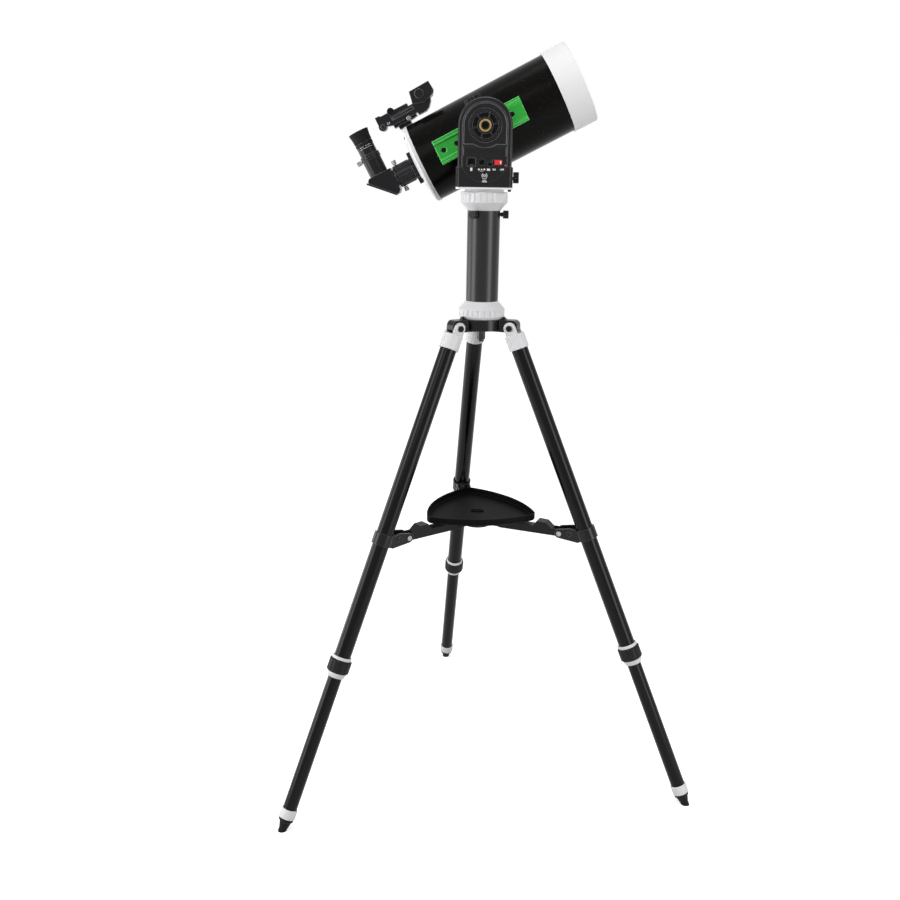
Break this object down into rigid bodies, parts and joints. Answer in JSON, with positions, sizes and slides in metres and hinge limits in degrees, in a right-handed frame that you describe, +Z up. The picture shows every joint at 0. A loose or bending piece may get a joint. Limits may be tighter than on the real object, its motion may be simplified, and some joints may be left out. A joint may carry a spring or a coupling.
{
  "type": "telescope on tripod",
  "caption": "Short black catadioptric telescope with a white front cell on an altazimuth arm mount, an extension pier and a folding tripod with a tray.",
  "frame": {"origin": "on the floor, on the azimuth axis", "axes": "+Z up; +X along the heading of the tube; -Y out of the clutch wheel of the mount"},
  "size_m": [0.7441, 0.7114, 1.3547],
  "materials": {
    "hub_plastic": "fine grain",
    "steel_bolts": "satin",
    "knob_plastic": "fine grain",
    "white_plastic": "soft gloss",
    "pier_metal": "satin",
    "leg_metal": "satin black",
    "lock_plastic": "fine grain",
    "foot_rubber": "matt",
    "spreader_metal": "satin black",
    "tray_plastic": "fine grain",
    "mount_plastic": "fine grain",
    "base_metal": "satin",
    "socket_plastic": "smooth",
    "switch_red": "smooth",
    "brass": "turned",
    "shaft_steel": "polished",
    "black_metal": "black anodised",
    "green_anodised": "anodised green",
    "tube_paint": "gloss enamel with fine flakes",
    "white_cell": "gloss enamel",
    "grey_cell": "gloss enamel",
    "lens_glass": "coated",
    "mirror_coat": "polished",
    "finder_plastic": "fine grain"
  },
  "bodies": {
    "tripod": {"tripod_hub": "hub_plastic", "pivot_bolts": "steel_bolts", "bottom_collar": "white_plastic", "pier_tube": "pier_metal", "pier_knobs": "knob_plastic", "top_collar": "white_plastic"},
    "hub_bolt": {"centre_bolt": "knob_plastic"},
    "leg_left": {"leg_bracket_left": "white_plastic", "upper_leg_left": "leg_metal", "leg_clamp_left": "lock_plastic"},
    "lock_left": {"leg_lock_left": "lock_plastic"},
    "lower_left": {"lower_leg_left": "leg_metal", "leg_foot_left": "foot_rubber"},
    "arm_left": {"spreader_arm_left": "spreader_metal"},
    "leg_right": {"leg_bracket_right": "white_plastic", "upper_leg_right": "leg_metal", "leg_clamp_right": "lock_plastic"},
    "lock_right": {"leg_lock_right": "lock_plastic"},
    "lower_right": {"lower_leg_right": "leg_metal", "leg_foot_right": "foot_rubber"},
    "arm_right": {"spreader_arm_right": "spreader_metal"},
    "leg_back": {"leg_bracket_back": "white_plastic", "upper_leg_back": "leg_metal", "leg_clamp_back": "lock_plastic"},
    "lock_back": {"leg_lock_back": "lock_plastic"},
    "lower_back": {"lower_leg_back": "leg_metal", "leg_foot_back": "foot_rubber"},
    "arm_back": {"spreader_arm_back": "spreader_metal"},
    "spreader": {"spreader_hub": "spreader_metal"},
    "tray": {"accessory_tray": "tray_plastic"},
    "mount": {"base_plate": "base_metal", "lower_housing": "mount_plastic", "arm_housing": "mount_plastic", "panel_sockets": "socket_plastic"},
    "switch": {"power_switch": "switch_red"},
    "azimuth_clutch": {"azimuth_knob": "knob_plastic"},
    "tube": {"altitude_shaft": "shaft_steel", "clutch_bush": "brass", "saddle": "black_metal", "dovetail_bar": "green_anodised", "optical_tube": "tube_paint", "front_cell": "white_cell", "corrector_lens": "lens_glass", "rear_cell": "grey_cell", "baffle_tube": "black_metal", "visual_back": "black_metal", "back_screws": "shaft_steel", "finder_bracket": "black_metal", "finder_body": "finder_plastic", "finder_window": "lens_glass"},
    "altitude_clutch": {"clutch_wheel": "knob_plastic"},
    "saddle_clamp": {"saddle_knob": "knob_plastic"},
    "jaw": {"saddle_jaw": "black_metal"},
    "focuser": {"focus_knob": "knob_plastic"},
    "mirror": {"primary_mirror": "mirror_coat"},
    "diagonal": {"diagonal_body": "black_metal", "diagonal_prism": "lens_glass", "holder_screw": "shaft_steel"},
    "eyepiece": {"eyepiece": "black_metal"},
    "finder_switch": {"finder_dial": "knob_plastic"}
  },
  "joints": [
    {"name": "hub_bolt_turn", "type": "hinge", "parent": "tripod", "child": "hub_bolt", "pos_m": [0, 0, 0.84], "axis": [0, 0, 1], "range_deg": [-90, 90]},
    {"name": "leg_fold_left", "type": "hinge", "parent": "tripod", "child": "leg_left", "pos_m": [-0.04437, -0.03736, 0.863], "axis": [0.6441, -0.7649, 0], "range_deg": [0, 7]},
    {"name": "leg_lock_turn_left", "type": "hinge", "parent": "leg_left", "child": "lock_left", "pos_m": [-0.23322, -0.19639, 0.28557], "axis": [-0.3007, -0.2532, -0.9195], "range_deg": [-45, 45]},
    {"name": "leg_slide_left", "type": "slide", "parent": "leg_left", "child": "lower_left", "axis": [-0.3007, -0.2532, -0.9195], "range_m": [-0.245, 0.1]},
    {"name": "arm_fold_left", "type": "hinge", "parent": "leg_left", "child": "arm_left", "pos_m": [-0.12621, -0.10628, 0.497], "axis": [0.6441, -0.7649, 0], "range_deg": [0, 46]},
    {"name": "leg_fold_right", "type": "hinge", "parent": "tripod", "child": "leg_right", "pos_m": [0.05454, -0.01974, 0.863], "axis": [0.3404, 0.9403, 0], "range_deg": [0, 7]},
    {"name": "leg_lock_turn_right", "type": "hinge", "parent": "leg_right", "child": "lock_right", "pos_m": [0.28669, -0.10378, 0.28557], "axis": [0.3697, -0.1338, -0.9195], "range_deg": [-45, 45]},
    {"name": "leg_slide_right", "type": "slide", "parent": "leg_right", "child": "lower_right", "axis": [0.3697, -0.1338, -0.9195], "range_m": [-0.245, 0.1]},
    {"name": "arm_fold_right", "type": "hinge", "parent": "leg_right", "child": "arm_right", "pos_m": [0.15515, -0.05616, 0.497], "axis": [0.3404, 0.9403, 0], "range_deg": [0, 46]},
    {"name": "leg_fold_back", "type": "hinge", "parent": "tripod", "child": "leg_back", "pos_m": [-0.01017, 0.0571, 0.863], "axis": [-0.9845, -0.1754, 0], "range_deg": [0, 7]},
    {"name": "leg_lock_turn_back", "type": "hinge", "parent": "leg_back", "child": "lock_back", "pos_m": [-0.05347, 0.30017, 0.28557], "axis": [-0.0689, 0.3871, -0.9195], "range_deg": [-45, 45]},
    {"name": "leg_slide_back", "type": "slide", "parent": "leg_back", "child": "lower_back", "axis": [-0.0689, 0.3871, -0.9195], "range_m": [-0.245, 0.1]},
    {"name": "arm_fold_back", "type": "hinge", "parent": "leg_back", "child": "arm_back", "pos_m": [-0.02894, 0.16244, 0.497], "axis": [-0.9845, -0.1754, 0], "range_deg": [0, 46]},
    {"name": "spreader_rise", "type": "slide", "parent": "tripod", "child": "spreader", "axis": [0, 0, 1], "range_m": [0, 0.082]},
    {"name": "tray_lift", "type": "slide", "parent": "spreader", "child": "tray", "axis": [0, 0, 1], "range_m": [0, 0.01]},
    {"name": "azimuth", "type": "hinge", "parent": "tripod", "child": "mount", "pos_m": [0, 0, 1.101], "axis": [0, 0, 1], "continuous": true},
    {"name": "power_switch_slide", "type": "slide", "parent": "mount", "child": "switch", "axis": [-1, 0, 0], "range_m": [0, 0.0035]},
    {"name": "azimuth_knob_turn", "type": "hinge", "parent": "mount", "child": "azimuth_clutch", "pos_m": [0.052, 0, 1.118], "axis": [1, 0, 0], "range_deg": [-180, 180]},
    {"name": "altitude", "type": "hinge", "parent": "mount", "child": "tube", "pos_m": [0, 0, 1.203], "axis": [0, -1, 0], "range_deg": [-27.5, 62.5]},
    {"name": "clutch_wheel_turn", "type": "hinge", "parent": "tube", "child": "altitude_clutch", "pos_m": [0, -0.04, 1.203], "axis": [0, -1, 0], "range_deg": [-60, 60]},
    {"name": "saddle_knob_turn", "type": "hinge", "parent": "tube", "child": "saddle_clamp", "pos_m": [-0.02263, 0.0476, 1.24646], "axis": [-0.4617, 0, 0.887], "range_deg": [0, 725]},
    {"name": "jaw_slide", "type": "slide", "parent": "tube", "child": "jaw", "axis": [-0.4617, 0, 0.887], "range_m": [0, 0.002]},
    {"name": "focus_turn", "type": "hinge", "parent": "tube", "child": "focuser", "pos_m": [-0.1356, 0.173, 1.12565], "axis": [0.887, 0, 0.4617], "range_deg": [-725, 725]},
    {"name": "mirror_slide", "type": "slide", "parent": "tube", "child": "mirror", "axis": [0.887, 0, 0.4617], "range_m": [-0.003, 0.003]},
    {"name": "diagonal_turn", "type": "hinge", "parent": "tube", "child": "diagonal", "pos_m": [-0.17297, 0.133, 1.11296], "axis": [-0.887, 0, -0.4617], "range_deg": [-60, 90]},
    {"name": "eyepiece_slide", "type": "slide", "parent": "diagonal", "child": "eyepiece", "axis": [-0.4617, 0, 0.887], "range_m": [0, 0.03]},
    {"name": "finder_dial_turn", "type": "hinge", "parent": "tube", "child": "finder_switch", "pos_m": [-0.17594, 0.121, 1.23238], "axis": [0, -1, 0], "range_deg": [-150, 0]}
  ],
  "couplings": [
    {"joint": "arm_fold_left", "follows": "leg_fold_left", "ratio": 6.5367},
    {"joint": "leg_fold_right", "follows": "leg_fold_left", "ratio": 1},
    {"joint": "arm_fold_right", "follows": "leg_fold_left", "ratio": 6.5367},
    {"joint": "leg_fold_back", "follows": "leg_fold_left", "ratio": 1},
    {"joint": "arm_fold_back", "follows": "leg_fold_left", "ratio": 6.5367},
    {"joint": "spreader_rise", "follows": "leg_fold_left", "m_per_rad": 0.66493},
    {"joint": "saddle_knob_turn", "follows": "jaw_slide", "rad_per_m": 6283.2},
    {"joint": "focus_turn", "follows": "mirror_slide", "rad_per_m": 4188.8}
  ]
}
